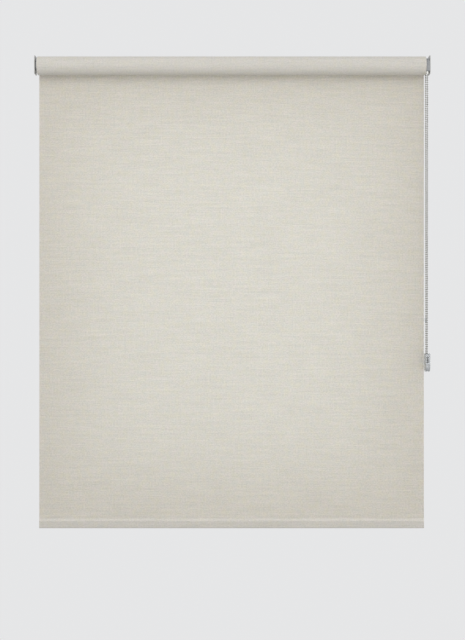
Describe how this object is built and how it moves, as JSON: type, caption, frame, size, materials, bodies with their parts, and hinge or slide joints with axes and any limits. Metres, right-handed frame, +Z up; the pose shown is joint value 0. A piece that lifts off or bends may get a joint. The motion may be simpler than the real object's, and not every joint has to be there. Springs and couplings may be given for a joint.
{
  "type": "roller blind",
  "caption": "Chain-operated roller blind with a beige linen-look fabric, hem bar, side-fixed plate brackets and a wall-fixed chain tensioner.",
  "frame": {"origin": "level with the top edges of the two brackets, centred between the fabric's two edges and straight above the roller's axis", "axes": "+Z up, +X along the roller to the control end (right, seen from the room), +Y towards the window"},
  "size_m": [1.079, 0.0539, 1.295],
  "materials": {
    "fabric": "matte linen-look weave, warm beige",
    "aluminium": "mill finish, drawn lengthwise",
    "pvc_strip": "extruded, matt",
    "white_plastic": "moulded, semi-gloss white",
    "grey_plastic": "glass-filled nylon, matt",
    "clear_plastic": "grey translucent, smooth",
    "painted_steel": "mid grey powder coat",
    "zinc_steel": "bright zinc plate",
    "spring_steel": "oiled spring wire",
    "nickel_chain": "nickel plated, slightly dulled"
  },
  "bodies": {
    "fixed_frame": {"bracket_left": "painted_steel", "bracket_right": "painted_steel", "pin_socket": "grey_plastic", "bracket_screw_left_front": "zinc_steel", "bracket_screw_left_rear": "zinc_steel", "bracket_screw_right_front": "zinc_steel", "bracket_screw_right_rear": "zinc_steel", "clutch_core": "grey_plastic", "core_circlip": "spring_steel", "chain_guard": "grey_plastic", "chain_loop": "nickel_chain", "fabric_drop": "fabric", "tensioner_base": "clear_plastic", "tensioner_cover": "clear_plastic", "tensioner_axle": "zinc_steel", "tensioner_screw_lower": "zinc_steel", "tensioner_screw_upper": "zinc_steel"},
    "roller": {"roller_tube": "aluminium", "fabric_spline": "pvc_strip", "rolled_fabric": "fabric", "idle_plug": "white_plastic", "pin_retainer": "grey_plastic", "pin_spring": "spring_steel", "drive_crown": "grey_plastic"},
    "chain_wheel": {"chain_wheel": "white_plastic", "wrap_spring_inner": "spring_steel", "wrap_spring_outer": "spring_steel"},
    "hem": {"hem_pocket": "fabric", "bottom_bar": "aluminium", "bar_cap_left": "white_plastic", "bar_cap_right": "white_plastic"},
    "chain_stop": {"chain_stop": "white_plastic"},
    "chain_connector": {"chain_connector": "clear_plastic"},
    "tensioner_wheel": {"tensioner_wheel": "white_plastic"},
    "idle_pin": {"idle_pin": "grey_plastic"}
  },
  "joints": [
    {"name": "roller_spin", "type": "hinge", "parent": "fixed_frame", "child": "roller", "pos_m": [0, 0, -0.026], "axis": [1, 0, 0], "range_deg": [0, 2520]},
    {"name": "hem_slide", "type": "slide", "parent": "fixed_frame", "child": "hem", "axis": [0, 0, 1], "range_m": [0, 1.20072], "deforming": ["fabric_drop"]},
    {"name": "chain_wheel_spin", "type": "hinge", "parent": "fixed_frame", "child": "chain_wheel", "pos_m": [0.5335, 0, -0.026], "axis": [1, 0, 0], "range_deg": [0, 2520]},
    {"name": "chain_stop_slide", "type": "slide", "parent": "fixed_frame", "child": "chain_stop", "axis": [0, 0.007, -1], "range_m": [0, 0.6721]},
    {"name": "chain_connector_slide", "type": "slide", "parent": "fixed_frame", "child": "chain_connector", "axis": [0, 0.007, 1], "range_m": [0, 0.6721]},
    {"name": "tensioner_wheel_spin", "type": "hinge", "parent": "fixed_frame", "child": "tensioner_wheel", "pos_m": [0.5335, 0, -0.84798], "axis": [1, 0, 0], "range_deg": [0, 4032]},
    {"name": "idle_pin_slide", "type": "slide", "parent": "fixed_frame", "child": "idle_pin", "axis": [1, 0, 0], "range_m": [0, 0.005], "stiffness_N_per_m": 800, "springref_m": -0.005, "deforming": ["pin_spring"]}
  ],
  "couplings": [
    {"joint": "hem_slide", "follows": "roller_spin", "m_per_rad": 0.0273},
    {"joint": "chain_wheel_spin", "follows": "roller_spin", "ratio": 1},
    {"joint": "chain_stop_slide", "follows": "roller_spin", "m_per_rad": 0.015279},
    {"joint": "chain_connector_slide", "follows": "roller_spin", "m_per_rad": 0.015279},
    {"joint": "tensioner_wheel_spin", "follows": "roller_spin", "ratio": 1.6}
  ]
}
